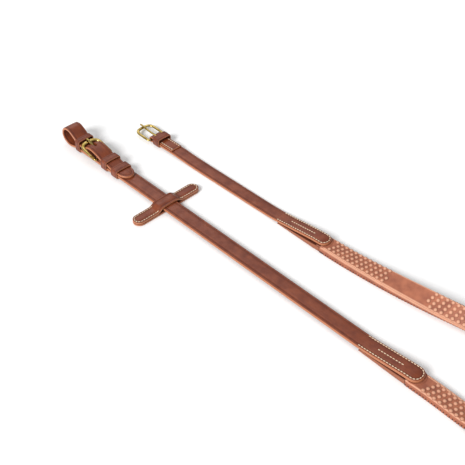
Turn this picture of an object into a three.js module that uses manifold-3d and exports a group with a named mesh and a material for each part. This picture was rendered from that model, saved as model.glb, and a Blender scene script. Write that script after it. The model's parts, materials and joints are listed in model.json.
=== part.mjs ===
// One leather riding rein, laid out as a long U on a flat surface. Millimetres, +Z up.
// The bit end runs along X at y = 0, the hand end lies beside it, and the rubber grip joins them in a turn.

import * as THREE from 'three';
import { mergeVertices } from 'three/addons/utils/BufferGeometryUtils.js';
import Module from 'manifold-3d';

const wasm = await Module();
wasm.setup();

// ---- driving dimensions ----
const GAP = 0.3;                    // clearance between touching pieces

// leather strap of the bit end
const BIT_WIDTH = 17.8;
const BIT_THICKNESS = 3.4;
const BIT_LIFT = 2.4;               // underside of the strap, carried by keepers and rein stop
const BILLET_THICKNESS = 2.8;       // skived part that loops round the bit ring and buckles back
const LOOP_THICKNESS = 2.6;
const BILLET_TIP = 110;             // x of the rounded tip
const BIT_LAP_START = 428;          // x where the sewn lap on the grip begins
const LAP_LENGTH = 62;

// leather strap of the hand end
const HAND_Y = 68.1;                // middle of the hand buckle
const HAND_SLOPE = 0.0094;          // the strap drifts away from the bit strap towards the grip
const HAND_WIDTH = 15.8;
const HAND_THICKNESS = 3;
const FOLD_THICKNESS = 1.4;         // skived ply folded round the buckle's heel bar
const FOLD_WIDTH = 14;
const FOLD_END = 103.6;
const HAND_LAP_START = 263;

// rubber grip
const GRIP_END = 320.4;              // where the grip begins under the hand strap's lap
const GRIP_WIDTH = 19.4;
const GRIP_THICKNESS = 6.5;
const GRIP_SKIN = 1.5;              // rubber over the top, and the closing strip below
const GRIP_WALL = 1.2;              // rubber turned down over each long edge
const GRIP_STEPS = 80;

// buckles: x, z of the heel bar, reach from heel bar to front bar, half the width between leg middles
const BIT_BUCKLE = { x: 61.5, z: 8.5, reach: 26.5, half: 11, wire: 1.5, bar: 1.2, corner: 7, rise: 5.4 };
const HAND_BUCKLE = { x: 68.6, z: 3.6, reach: 22.7, half: 10.4, wire: 1.35, bar: 1.2, corner: 5.5, rise: 0.8 };
const EYE_WALL = 0.85;
const TONGUE_WIDTH = 2.4;
const TONGUE_THICKNESS = 1.7;
const TONGUE_SLOT = 4.4;            // slot in the leather round each heel bar

// keepers: leather bands round the straps, each from one x to another
const KEEPER_WALL = 1.4;
const LOOP_KEEPER = [24.4, 31.4];
const FIXED_KEEPER = [69.3, 78.6];
const RUNNING_KEEPER = [87, 96.5];
const HAND_KEEPER = [74.2, 84];

// rein stop
const STOP_X = 165;
const STOP_LENGTH = 85;
const STOP_WIDTH = 14;
const STOP_LOWER = 2;
const STOP_UPPER = 2.2;

// ---- colours ----
const LEATHER = { color: 0x8a4f3a, roughness: 0.5, metalness: 0 };
const DARK_LEATHER = { color: 0x74402f, roughness: 0.55, metalness: 0 };
const BRASS = { color: 0xc9ad62, roughness: 0.25, metalness: 1 };
const RUBBER = { color: 0xb87458, roughness: 0.7, metalness: 0 };
const WEB = { color: 0x6d4a38, roughness: 0.9, metalness: 0 };

const rein = new THREE.Group();

/** Adds one named mesh with its own material. */
function add(name, geometry, look) {
  geometry.computeVertexNormals();
  const mesh = new THREE.Mesh(geometry, new THREE.MeshStandardMaterial(look));
  mesh.name = name;
  rein.add(mesh);
  return mesh;
}

// ---- solids ----

/** A closed mesh as a solid that can be cut and joined. */
function solidOf(geometry) {
  const bare = geometry.clone();
  bare.deleteAttribute('normal');
  bare.deleteAttribute('uv');
  const merged = mergeVertices(bare, 1e-4);
  return new wasm.Manifold(new wasm.Mesh({
    numProp: 3,
    vertProperties: Float32Array.from(merged.attributes.position.array),
    triVerts: Uint32Array.from(merged.index.array),
  }));
}

/** The triangles of a solid as a geometry. */
function geometryOf(solid) {
  const { vertProperties, triVerts } = solid.getMesh();
  const geometry = new THREE.BufferGeometry();
  geometry.setAttribute('position', new THREE.BufferAttribute(Float32Array.from(vertProperties), 3));
  geometry.setIndex(new THREE.BufferAttribute(Uint32Array.from(triVerts), 1));
  return geometry;
}

/** A box from its lowest and highest corner. */
function block([x0, y0, z0], [x1, y1, z1]) {
  const box = new THREE.BoxGeometry(x1 - x0, y1 - y0, z1 - z0);
  return box.translate((x0 + x1) / 2, (y0 + y1) / 2, (z0 + z1) / 2);
}

/** An outline in X and Y raised from one height to another. */
function raised(shape, bottom, top) {
  const body = new THREE.ExtrudeGeometry(shape, { depth: top - bottom, bevelEnabled: false, curveSegments: 8 });
  return body.translate(0, 0, bottom);
}

/** A side view in X and Z, as wide as the strap, about the line y = middle. */
function acrossY(shape, width, middle = 0) {
  const body = new THREE.ExtrudeGeometry(shape, { depth: width, bevelEnabled: false, curveSegments: 6 });
  return body.rotateX(Math.PI / 2).translate(0, middle + width / 2, 0);
}

// ---- strips of leather, seen from the edge ----

/** A smooth run through a few stations of [x, z, thickness]. */
function smoothRun(stations, steps) {
  const curve = new THREE.CatmullRomCurve3(stations.map((p) => new THREE.Vector3(...p)), false, 'centripetal');
  return curve.getPoints(steps).map((p) => [p.x, p.y, p.z]);
}

/** The outline of a strip whose middle passes through the stations. */
function stripShape(stations) {
  const upper = [];
  const lower = [];
  stations.forEach(([x, z, thickness], i) => {
    const [ax, az] = stations[Math.max(i - 1, 0)];
    const [bx, bz] = stations[Math.min(i + 1, stations.length - 1)];
    const length = Math.hypot(bx - ax, bz - az);
    const dx = -(bz - az) / length * thickness / 2;
    const dz = (bx - ax) / length * thickness / 2;
    upper.push(new THREE.Vector2(x + dx, z + dz));
    lower.unshift(new THREE.Vector2(x - dx, z - dz));
  });
  return new THREE.Shape([...upper, ...lower]);
}

/** A plan outline with a rounded end: from x = start to the tip at x = end, about the line y = middle. */
function tipOutline(start, end, width, middle, radius) {
  const half = width / 2;
  const shape = new THREE.Shape();
  const side = Math.sign(end - start);
  shape.moveTo(start, middle - half);
  shape.lineTo(end - side * radius, middle - half);
  shape.quadraticCurveTo(end, middle - half, end, middle);
  shape.quadraticCurveTo(end, middle + half, end - side * radius, middle + half);
  shape.lineTo(start, middle + half);
  return shape;
}

/** Rounds the end of a strip, cutting only between two heights. */
function roundTip(solid, { start, end, width, middle, radius, bottom, top }) {
  const side = Math.sign(end - start);
  const low = Math.min(start, end + side * 3);
  const high = Math.max(start, end + side * 3);
  const around = solidOf(block([low, middle - width, bottom], [high, middle + width, top]));
  const kept = solidOf(raised(tipOutline(start - side, end, width, middle, radius), bottom - 1, top + 1));
  return solid.subtract(around.subtract(kept));
}

// ---- bit end ----

const bitMiddle = BIT_LIFT + BIT_THICKNESS / 2;
const gripTop = GRIP_THICKNESS + GAP;

/** The middle of the bit strap: from the grip, round the loop for the bit, and back through the buckle. */
function bitStations() {
  const t = BIT_THICKNESS;
  const b = BILLET_THICKNESS;
  const tip = BIT_LAP_START + LAP_LENGTH;
  const flat = [[tip, gripTop + t / 2, t], [478, gripTop + t / 2, t], [430, bitMiddle + 0.1, t], [420, bitMiddle, t]];
  const loop = [
    [34, bitMiddle, t], [27, bitMiddle, 3.2], [22, 3.7, 3], [16.5, 2.2, 2.7], [10.5, 1.5, LOOP_THICKNESS],
    [3.6, 4, LOOP_THICKNESS], [0.2, 9.6, LOOP_THICKNESS], [0.9, 15.4, LOOP_THICKNESS],
    [4.8, 19.6, LOOP_THICKNESS], [10.4, 20.6, LOOP_THICKNESS], [15.6, 18.8, LOOP_THICKNESS],
    [20.2, 15.6, 2.7], [24.4, 12.7, b], [29, 10.9, b], [34, 10.2, b],
  ];
  const hump = [
    [37.6, 10.4, b], [40.6, 11.7, b], [43.6, 13.6, b], [47.5, 15.1, b], [51.5, 15.1, b], [56, 14.4, b],
    [60, 13.5, b], [64, 12.1, b], [68, 10.1, b], [72, 9.9, b], [77, 9.8, b], [82, 8.3, b],
    [86, 7.5, b], [92, 7.5, b], [BILLET_TIP, 7.5, b],
  ];
  return [...flat.slice(0, 2), ...smoothRun([[478, flat[1][1], t], [474, flat[1][1] - 0.3, t], ...flat.slice(2)], 6),
    ...smoothRun([...loop, ...hump], 84)];
}

/** The long strap of the bit end, with its billet, its holes and both rounded tips. */
function bitStrap() {
  let strap = solidOf(acrossY(stripShape(bitStations()), BIT_WIDTH));
  const top = BIT_LIFT + BIT_THICKNESS + GAP / 2;
  strap = roundTip(strap, { start: 98, end: BILLET_TIP, width: BIT_WIDTH, middle: 0, radius: 9, bottom: top, top: 20 });
  const lapTip = BIT_LAP_START + LAP_LENGTH;
  strap = roundTip(strap, { start: 480, end: lapTip, width: BIT_WIDTH, middle: 0, radius: 8, bottom: 0, top: 20 });
  const tongueHole = solidOf(block([38.2, -1.6, top], [50.5, 1.6, 20]));
  const spareHole = solidOf(new THREE.CylinderGeometry(1.9, 1.9, 6, 12).rotateX(Math.PI / 2).translate(72.5, 0, 10));
  return geometryOf(strap.subtract(tongueHole).subtract(spareHole));
}

/** The small leather that holds the heel bar on top of the strap, with a slot for the tongue. */
function bitChape() {
  const { x, z, bar } = BIT_BUCKLE;
  const wall = 0.9;
  const low = BIT_LIFT + BIT_THICKNESS + GAP + wall / 2;
  const radius = bar + GAP + wall / 2;
  const turn = [];
  for (let i = 0; i <= 8; i += 1) {
    const angle = -Math.PI / 2 - Math.PI * i / 8;
    turn.push([x + radius * Math.cos(angle), z + radius * Math.sin(angle), wall]);
  }
  const high = low + wall + GAP;
  const run = [[79.5, low, wall], [66, low, wall], ...turn, [66.5, high + 0.25, wall], [69, high, wall], [76, high, wall]];
  const ply = solidOf(acrossY(stripShape(run), BIT_WIDTH - 2));
  const slot = solidOf(block([x - 4, -TONGUE_SLOT / 2, low + wall], [x + 4, TONGUE_SLOT / 2, 20]));
  const mouth = solidOf(block([x - 4, -TONGUE_SLOT / 2, 0], [x + 2.6, TONGUE_SLOT / 2, 20]));
  return geometryOf(ply.subtract(slot).subtract(mouth));
}

// ---- buckles ----

/** A horseshoe frame in the plane of X and Y: heel bar on the Y axis, front bar towards -X. */
function buckleFrame({ reach, half, wire, bar, corner }) {
  const path = new THREE.CurvePath();
  const at = (x, y) => new THREE.Vector3(x, y, 0);
  path.add(new THREE.LineCurve3(at(0, half), at(corner - reach, half)));
  path.add(new THREE.QuadraticBezierCurve3(at(corner - reach, half), at(-reach, half), at(-reach, half - corner)));
  path.add(new THREE.LineCurve3(at(-reach, half - corner), at(-reach, corner - half)));
  path.add(new THREE.QuadraticBezierCurve3(at(-reach, corner - half), at(-reach, -half), at(corner - reach, -half)));
  path.add(new THREE.LineCurve3(at(corner - reach, -half), at(0, -half)));
  const section = new THREE.Shape().absarc(0, 0, wire, 0, 2 * Math.PI);
  const bow = new THREE.ExtrudeGeometry(section, { steps: 40, curveSegments: 5, bevelEnabled: false, extrudePath: path });
  const heel = new THREE.CylinderGeometry(bar, bar, 2 * half, 10);
  const knob = (y) => new THREE.CylinderGeometry(wire + 0.1, wire + 0.1, 2 * wire, 10).translate(0, y, 0);
  const solid = solidOf(bow).add(solidOf(heel)).add(solidOf(knob(half))).add(solidOf(knob(-half)));
  return geometryOf(solid);
}

/** A tongue with its eye round the heel bar: the middle of the shaft passes through the points of [x, z]. */
function buckleTongue(bar, points) {
  const inner = bar + 0.25;
  const eye = new THREE.Shape().absarc(0, 0, inner + EYE_WALL, 0, 2 * Math.PI);
  eye.holes.push(new THREE.Path().absarc(0, 0, inner, 0, 2 * Math.PI));
  const shaft = stripShape(points.map(([x, z]) => [x, z, TONGUE_THICKNESS]));
  const bore = new THREE.CylinderGeometry(inner, inner, 9, 12);
  const solid = solidOf(acrossY(eye, TONGUE_WIDTH + 0.8)).add(solidOf(acrossY(shaft, TONGUE_WIDTH)));
  return geometryOf(solid.subtract(solidOf(bore)));
}

/** Puts a buckle piece on its heel bar. */
function place(mesh, { x, z }, y, tilt) {
  mesh.position.set(x, y, z);
  mesh.rotation.y = tilt;
}

// ---- keepers ----

/** A band round a strap: a closed ring with rounded corners, from one x to the other. */
function keeper([x0, x1], halfWidth, bottom, top, middle = 0) {
  const ring = (grow, radius) => {
    const y = halfWidth + grow;
    const low = bottom - grow;
    const high = top + grow;
    const shape = new THREE.Shape();
    shape.moveTo(-y + radius, low);
    shape.lineTo(y - radius, low);
    shape.quadraticCurveTo(y, low, y, low + radius);
    shape.lineTo(y, high - radius);
    shape.quadraticCurveTo(y, high, y - radius, high);
    shape.lineTo(-y + radius, high);
    shape.quadraticCurveTo(-y, high, -y, high - radius);
    shape.lineTo(-y, low + radius);
    shape.quadraticCurveTo(-y, low, -y + radius, low);
    return shape;
  };
  const outer = ring(KEEPER_WALL, 1.6);
  outer.holes.push(ring(0, 0.3));
  const body = new THREE.ExtrudeGeometry(outer, { depth: x1 - x0, bevelEnabled: false, curveSegments: 3 });
  return body.rotateX(Math.PI / 2).rotateZ(Math.PI / 2).translate(x0, middle, 0);
}

// ---- rein stop ----

/** The stop's outline from above: a long bar with round ends. */
function stopOutline() {
  const radius = STOP_WIDTH / 2;
  const reach = STOP_LENGTH / 2 - radius;
  const shape = new THREE.Shape();
  shape.absarc(0, reach, radius, 0, Math.PI);
  shape.absarc(0, -reach, radius, Math.PI, 2 * Math.PI);
  return shape;
}

/** The stop's upper leather, which arches over the strap. */
function stopUpper() {
  const flat = STOP_LOWER + GAP + STOP_UPPER / 2;
  const arch = BIT_LIFT + BIT_THICKNESS + GAP + STOP_UPPER / 2;
  const end = STOP_LENGTH / 2 + 1;
  const half = [[end, flat], [18.9, flat], [16.4, flat + 0.15], [13.3, flat + 1.7], [10.7, arch - 0.35], [8.1, arch + 0.1]];
  const stations = [...half.map(([y, z]) => [-y, z, STOP_UPPER]), ...half.reverse().map(([y, z]) => [y, z, STOP_UPPER])];
  const strip = acrossY(stripShape(stations), STOP_WIDTH + 2).rotateZ(Math.PI / 2);
  const plan = raised(stopOutline(), 0, 20);
  return geometryOf(solidOf(strip).intersect(solidOf(plan))).translate(STOP_X, 0, 0);
}

/** The stop's lower leather, flat under the strap. */
function stopLower() {
  return raised(stopOutline(), 0, STOP_LOWER).translate(STOP_X, 0, 0);
}

// ---- hand end ----

/** The middle of the hand strap: from the grip to the heel bar, round it and back on top. */
function handStations() {
  const t = HAND_THICKNESS;
  const f = FOLD_THICKNESS;
  const { x, z, bar } = HAND_BUCKLE;
  const radius = bar + GAP + f / 2;
  const tip = HAND_LAP_START + LAP_LENGTH;
  const lap = smoothRun([[tip, gripTop + t / 2, t], [313, gripTop + t / 2, t], [307, gripTop + t / 2 - 0.5, t],
    [268, 3.4, t], [256, 2.2, t], [238, 1.7, t], [200, 1.7, t]], 24);
  const rest = smoothRun([[150, 1.7, t], [126, 2.1, t], [108, 3, 2.8], [84, 3.05, 2.8], [77, 3.05, 2.4],
    [72.6, 2.1, 1.6]], 14);
  const turn = [];
  for (let i = 0; i <= 8; i += 1) {
    const angle = -Math.PI / 2 - Math.PI * i / 8;
    turn.push([x + radius * Math.cos(angle), z + radius * Math.sin(angle), f]);
  }
  return [...lap, ...rest, ...turn, [73, 5.7, f], [77, 5.45, f], [80, 5.45, f], [FOLD_END, 5.45, f]];
}

/** The hand strap with its narrow fold, the slot for the tongue and the rounded lap tip. */
function handStrap() {
  let strap = solidOf(acrossY(stripShape(handStations()), HAND_WIDTH, HAND_Y));
  const tip = HAND_LAP_START + LAP_LENGTH;
  strap = roundTip(strap, {
    start: 316, end: tip, width: HAND_WIDTH, middle: HAND_Y, radius: 7, bottom: 0, top: 20,
  });
  const { x } = HAND_BUCKLE;
  const slot = block([x - 4, HAND_Y - TONGUE_SLOT / 2, -1], [x + 3.4, HAND_Y + TONGUE_SLOT / 2, 20]);
  strap = strap.subtract(solidOf(slot));
  for (const side of [-1, 1]) {
    const edge = HAND_Y + side * FOLD_WIDTH / 2;
    const outer = HAND_Y + side * HAND_WIDTH;
    const trim = block([60, Math.min(edge, outer), 4.6], [FOLD_END + 1, Math.max(edge, outer), 9]);
    strap = strap.subtract(solidOf(trim));
  }
  return drifted(geometryOf(strap));
}

/** Lets a piece of the hand strap drift away from the bit strap, in proportion to its distance from the buckle. */
function drifted(geometry) {
  const position = geometry.attributes.position;
  for (let i = 0; i < position.count; i += 1) {
    position.setY(i, position.getY(i) + HAND_SLOPE * (position.getX(i) - HAND_BUCKLE.x));
  }
  return geometry;
}

// ---- lap tongues ----

/** The leather wedge under a strap's lap: it widens and thickens up to the end of the grip. */
function lapTongue(start, end, middle, startWidth, startHeight) {
  const side = [[start, 0], [end, 0], [end, GRIP_THICKNESS - GAP], [end - 4, GRIP_THICKNESS - 0.5], [start + 4, startHeight],
    [start, startHeight - 0.6]];
  const profile = new THREE.Shape(side.map(([x, z]) => new THREE.Vector2(x, z)));
  const a = startWidth / 2;
  const b = GRIP_WIDTH / 2;
  const plan = new THREE.Shape();
  plan.moveTo(start, middle - a + 2);
  plan.quadraticCurveTo(start, middle - a, start + 3, middle - a);
  plan.lineTo(end - 8, middle - b);
  plan.lineTo(end + 1, middle - b);
  plan.lineTo(end + 1, middle + b);
  plan.lineTo(end - 8, middle + b);
  plan.lineTo(start + 3, middle + a);
  plan.quadraticCurveTo(start, middle + a, start, middle + a - 2);
  const body = solidOf(acrossY(profile, GRIP_WIDTH + 2, middle));
  return geometryOf(body.intersect(solidOf(raised(plan, -1, 20))));
}

// ---- grip ----

const GRIP_ROUTE = [
  [479, 0], [505, 0], [540, -1.5], [580, -5], [614, -5], [645, 3], [668, 20], [678, 45], [670, 69], [649, 85],
  [618, 93], [576, 93], [528, 88.5], [478, 81.8], [430, 76.4], [385, 72.9], [345, 70.9],
  [GRIP_END, HAND_Y + HAND_SLOPE * (GRIP_END - HAND_BUCKLE.x)],
];
const gripCurve = new THREE.CatmullRomCurve3(GRIP_ROUTE.map(([x, y]) => new THREE.Vector3(x, y, 0)), false, 'centripetal');
gripCurve.arcLengthDivisions = 800;
const gripLength = gripCurve.getLength();

/** The angle the grip has turned on to its edge, at a share of its length; its grain faces the inside of the bend. */
function gripTurn(share) {
  const length = share * gripLength;
  const rise = THREE.MathUtils.smoothstep(length, 45, 185);
  const fall = THREE.MathUtils.smoothstep(gripLength - length, 0, 300);
  return -Math.PI / 2 * rise * fall;
}

/** A section of the grip, across and up from its middle, swept along its route. */
function sweepAlongGrip(section, inset = 0) {
  const body = new THREE.ExtrudeGeometry(section, { depth: 1, steps: GRIP_STEPS, bevelEnabled: false });
  const position = body.attributes.position;
  const up = new THREE.Vector3(0, 0, 1);
  for (let i = 0; i < position.count; i += 1) {
    const share = inset / gripLength + position.getZ(i) * (1 - 2 * inset / gripLength);
    const along = gripCurve.getTangentAt(share);
    const left = new THREE.Vector3().crossVectors(up, along).normalize();
    const angle = gripTurn(share);
    const point = gripCurve.getPointAt(share);
    point.z = GRIP_WIDTH / 2 * Math.abs(Math.sin(angle)) + GRIP_THICKNESS / 2 * Math.cos(angle);
    const normal = up.clone().multiplyScalar(Math.cos(angle)).addScaledVector(left, -Math.sin(angle));
    const across = left.clone().multiplyScalar(Math.cos(angle)).addScaledVector(up, Math.sin(angle));
    point.addScaledVector(across, position.getX(i)).addScaledVector(normal, position.getY(i));
    position.setXYZ(i, point.x, point.y, point.z);
  }
  return body;
}

/** A closed outline from corners of [across, up], its long sides divided so that they can twist. */
function sectionOf(corners) {
  const points = [];
  corners.forEach(([across, up], i) => {
    const from = new THREE.Vector2(across, up);
    const to = new THREE.Vector2(...corners[(i + 1) % corners.length]);
    const parts = Math.ceil(from.distanceTo(to) / 4);
    for (let k = 0; k < parts; k += 1) points.push(from.clone().lerp(to, k / parts));
  });
  return new THREE.Shape(points);
}

const halfWide = GRIP_WIDTH / 2;
const halfThick = GRIP_THICKNESS / 2;
const insideWide = halfWide - GRIP_WALL;
const insideTop = halfThick - GRIP_SKIN;

/** The rubber cover: a flat top with both long edges turned down. */
function gripCover() {
  const corner = 0.8;
  return sweepAlongGrip(sectionOf([
    [-halfWide, -halfThick], [-insideWide, -halfThick], [-insideWide, insideTop], [insideWide, insideTop],
    [insideWide, -halfThick], [halfWide, -halfThick], [halfWide, halfThick - corner],
    [halfWide - corner, halfThick], [corner - halfWide, halfThick], [-halfWide, halfThick - corner],
  ]));
}

/** A flat strip inside the cover, between two heights. */
function gripStrip(low, high, inset) {
  const wide = insideWide - GAP;
  return sweepAlongGrip(sectionOf([[-wide, low], [wide, low], [wide, high], [-wide, high]]), inset);
}

// ---- the whole rein ----

add('bit_strap', bitStrap(), LEATHER);
add('bit_chape', bitChape(), DARK_LEATHER);
add('loop_keeper', keeper(LOOP_KEEPER, BIT_WIDTH / 2 + GAP, BIT_LIFT - GAP, 14.6), LEATHER);
add('fixed_keeper', keeper(FIXED_KEEPER, BIT_WIDTH / 2 + GAP, BIT_LIFT - GAP, 11.9), LEATHER);
add('running_keeper', keeper(RUNNING_KEEPER, BIT_WIDTH / 2 + 0.5, BIT_LIFT - GAP, 9.5), LEATHER);

const bitTilt = Math.atan2(BIT_BUCKLE.rise, BIT_BUCKLE.reach);
place(add('bit_buckle_frame', buckleFrame(BIT_BUCKLE), BRASS), BIT_BUCKLE, 0, bitTilt);
const bitShaft = [[-1.7, 0.75], [-10, 2.4], [-14, 3.6], [-20, 6.1], [-25.8, 7.95], [-28.6, 8.2]];
place(add('bit_buckle_tongue', buckleTongue(BIT_BUCKLE.bar, bitShaft), BRASS), BIT_BUCKLE, 0, 0);

add('rein_stop_upper', stopUpper(), LEATHER);
add('rein_stop_lower', stopLower(), LEATHER);

add('hand_strap', handStrap(), LEATHER);
add('hand_keeper', keeper(HAND_KEEPER, HAND_WIDTH / 2 + GAP, KEEPER_WALL, 9.1, HAND_Y), LEATHER);
const handTilt = Math.atan2(HAND_BUCKLE.rise, HAND_BUCKLE.reach);
place(add('hand_buckle_frame', buckleFrame(HAND_BUCKLE), BRASS), HAND_BUCKLE, HAND_Y, handTilt);
const handShaft = [[-1.7, 0.6], [-14, 2.1], [-22.7, 3.5], [-27, 3.7]];
place(add('hand_buckle_tongue', buckleTongue(HAND_BUCKLE.bar, handShaft), BRASS), HAND_BUCKLE, HAND_Y, 0);

add('bit_lap_tongue', lapTongue(BIT_LAP_START, 478.6, 0, BIT_WIDTH - 1, 2.1), DARK_LEATHER);
add('hand_lap_tongue', drifted(lapTongue(HAND_LAP_START, GRIP_END - 0.4, HAND_Y, HAND_WIDTH, 1.2)), DARK_LEATHER);

add('grip_cover', gripCover(), RUBBER);
add('grip_core', gripStrip(-halfThick + GRIP_SKIN + GAP, insideTop - GAP, 3), WEB);
add('grip_underside', gripStrip(-halfThick, -halfThick + GRIP_SKIN, 0), RUBBER);

// the origin is under the middle of the whole rein
const extent = new THREE.Box3().setFromObject(rein);
const middle = extent.getCenter(new THREE.Vector3());
rein.position.set(-middle.x, -middle.y, -extent.min.z);

export default rein;
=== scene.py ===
# %% [markdown]
# # A leather riding rein
# One rein of a pair lies on a table in a long U. A flat strap of bridle leather ends in a loop for the bit,
# which buckles back on itself. A second, narrower strap carries the hand buckle. A pimpled rubber grip, sewn
# to a lap at the end of each strap, joins them in a turn.
# The imported model gives every hinge and the whole size, so it is loaded first.

# %% Load the imported model
import bisect
import json
import math

import bmesh
import bpy
from mathutils import Matrix, Vector


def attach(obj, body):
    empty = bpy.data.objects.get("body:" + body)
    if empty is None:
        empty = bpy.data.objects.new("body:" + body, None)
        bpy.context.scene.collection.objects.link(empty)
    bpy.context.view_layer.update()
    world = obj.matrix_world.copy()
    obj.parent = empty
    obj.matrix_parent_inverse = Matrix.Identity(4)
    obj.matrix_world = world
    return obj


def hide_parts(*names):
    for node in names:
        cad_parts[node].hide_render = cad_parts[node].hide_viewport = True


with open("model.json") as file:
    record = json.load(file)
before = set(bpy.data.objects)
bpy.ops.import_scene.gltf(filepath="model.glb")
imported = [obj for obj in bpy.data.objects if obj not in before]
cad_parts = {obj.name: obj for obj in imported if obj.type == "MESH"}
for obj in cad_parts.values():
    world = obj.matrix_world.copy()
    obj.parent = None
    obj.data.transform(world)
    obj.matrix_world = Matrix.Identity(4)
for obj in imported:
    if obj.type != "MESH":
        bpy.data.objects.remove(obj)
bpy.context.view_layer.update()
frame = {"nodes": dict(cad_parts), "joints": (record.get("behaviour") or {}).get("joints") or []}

# %% [markdown]
# ## The bench
# A saddler marks every distance from one place, and this one is the heel bar of the bit buckle. Bench
# coordinates are millimetres: X runs from the bit loop to the turn, Y from the bit strap to the hand strap,
# and Z up from the table. A finished piece is scaled to metres and moved so that the heel bar meets its
# hinge.

# %% Bench coordinates
MM = 0.001
BIT_HEEL = Vector((61.5, 0, 8.5))
HAND_HEEL = Vector((68.6, 68.1, 3.6))
HINGES = {joint["name"]: Vector(joint["pos_m"]) for joint in frame["joints"] if "pos_m" in joint}
ORIGIN = HINGES["bit_buckle_hinge"] - BIT_HEEL * MM
drift = (ORIGIN + HAND_HEEL * MM - HINGES["hand_buckle_hinge"]).length / MM
print(f"hand heel bar is {drift:.3f} mm from its hinge")

# %% [markdown]
# ## Straps as blanks bent along a path
# A strap is cut flat and then bent, so it is modelled the same way. The blank lies on the bench with u along
# it, v across it and w through it. A path says where the middle of the blank goes, which way is across, and
# how wide and thick the blank is on the way. Bending the finished blank keeps creases and rims parallel to
# the edges, which a curve with a bevel profile can't do at a rounded tip.

# %% Paths
def smooth_run(stations, steps=12):
    """A smooth curve through a few stations, with the same number of steps between each two."""
    points = [Vector(station) for station in stations]
    points = [points[0] * 2 - points[1], *points, points[-1] * 2 - points[-2]]
    run = []
    for before, start, end, after in zip(points, points[1:], points[2:], points[3:]):
        gaps = [math.sqrt((q - p).length) for p, q in ((before, start), (start, end), (end, after))]
        leave = (start - before) / gaps[0] - (end - before) / (gaps[0] + gaps[1]) + (end - start) / gaps[1]
        arrive = (end - start) / gaps[1] - (after - start) / (gaps[1] + gaps[2]) + (after - end) / gaps[2]
        leave *= gaps[1]
        arrive *= gaps[1]
        for k in range(steps):
            t = k / steps
            square = (end - start) * 3 - leave * 2 - arrive
            cube = (start - end) * 2 + leave + arrive
            run.append(start + leave * t + square * t**2 + cube * t**3)
    run.append(points[-2])
    return run


class Path:
    """A line in space with an across direction and a size, (width, thickness), at each point."""

    def __init__(self, middles, acrosses, sizes):
        self.middles, self.acrosses, self.sizes = middles, acrosses, sizes
        self.lengths = [0.0]
        for start, end in zip(middles, middles[1:]):
            self.lengths.append(self.lengths[-1] + (end - start).length)
        self.length = self.lengths[-1]
        closed = (middles[0] - middles[-1]).length < 1e-4
        first = middles[-2] if closed else middles[0]
        last = middles[1] if closed else middles[-1]
        spread = zip([first, *middles[:-1]], [*middles[1:], last])
        self.alongs = [(end - start).normalized() for start, end in spread]

    def at(self, u):
        """Middle, along, across, normal and size at a length u from the start."""
        i = bisect.bisect_right(self.lengths, u) - 1
        i = min(max(i, 0), len(self.lengths) - 2)
        share = (u - self.lengths[i]) / (self.lengths[i + 1] - self.lengths[i])
        rows = (self.middles, self.alongs, self.acrosses, self.sizes)
        middle, along, across, size = (row[i].lerp(row[i + 1], share) for row in rows)
        along.normalize()
        across = (across - along * across.dot(along)).normalized()
        return middle, along, across, along.cross(across), size

    def where(self, x, first=0.0):
        """The length, after a first one, at which the path passes x."""
        for i, (start, end) in enumerate(zip(self.middles, self.middles[1:])):
            if self.lengths[i] >= first and (start.x - x) * (end.x - x) <= 0 and start.x != end.x:
                gap = self.lengths[i + 1] - self.lengths[i]
                return self.lengths[i] + gap * (x - start.x) / (end.x - start.x)
        raise ValueError(f"the path doesn't pass x = {x}")

    def cuts(self, stride, turn=5.0):
        """Lengths at which a blank is divided: every stride, and closer together where the path turns."""
        marks = []
        last, heading = 0.0, self.alongs[0]
        for u, along in zip(self.lengths, self.alongs):
            if u - last >= stride or heading.angle(along) >= math.radians(turn):
                marks.append(u)
                last, heading = u, along
        return marks


def strap_path(run, y, way, slope=0.0):
    """The path of a strap seen from its edge. The run holds (x, z, thickness), or (x, z, width, thickness)
    with the width as a share. way is 1 if the strap sets off towards +X, and -1 towards -X. A slope lets it
    drift sideways, measured from the hand buckle."""
    sizes = [Vector(p[2:]) if len(p) == 4 else Vector((1, p[2])) for p in run]
    middles = [Vector((p[0], y + slope * (p[0] - HAND_HEEL.x), p[1])) for p in run]
    return Path(middles, [Vector((0, way, 0))] * len(run), sizes)


# %% Blanks
def outline(length, width, tips=(0, 0)):
    """A flat face from u = 0 to u = length. A tip rounds an end over that reach."""
    bm = bmesh.new()
    bmesh.ops.create_grid(bm, x_segments=1, y_segments=1, size=0.5)
    bmesh.ops.translate(bm, vec=(0.5, 0, 0), verts=bm.verts)
    bmesh.ops.scale(bm, vec=(length, width, 1), verts=bm.verts)
    half = width / 2
    for end, inward, reach in ((0, 1, tips[0]), (length, -1, tips[1])):
        if not reach:
            continue
        corners = [v for v in bm.verts if abs(v.co.x - end) < 1e-4]
        bmesh.ops.bevel(bm, geom=corners, offset=half * 0.999, offset_type="OFFSET", segments=9,
                        profile=0.5, affect="VERTICES", material=-1)
        bmesh.ops.remove_doubles(bm, verts=bm.verts, dist=half * 0.01)
        for v in bm.verts:
            depth = (v.co.x - end) * inward
            if depth < half + 1e-4:
                v.co.x = end + inward * depth * reach / half
    return bm


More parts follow.
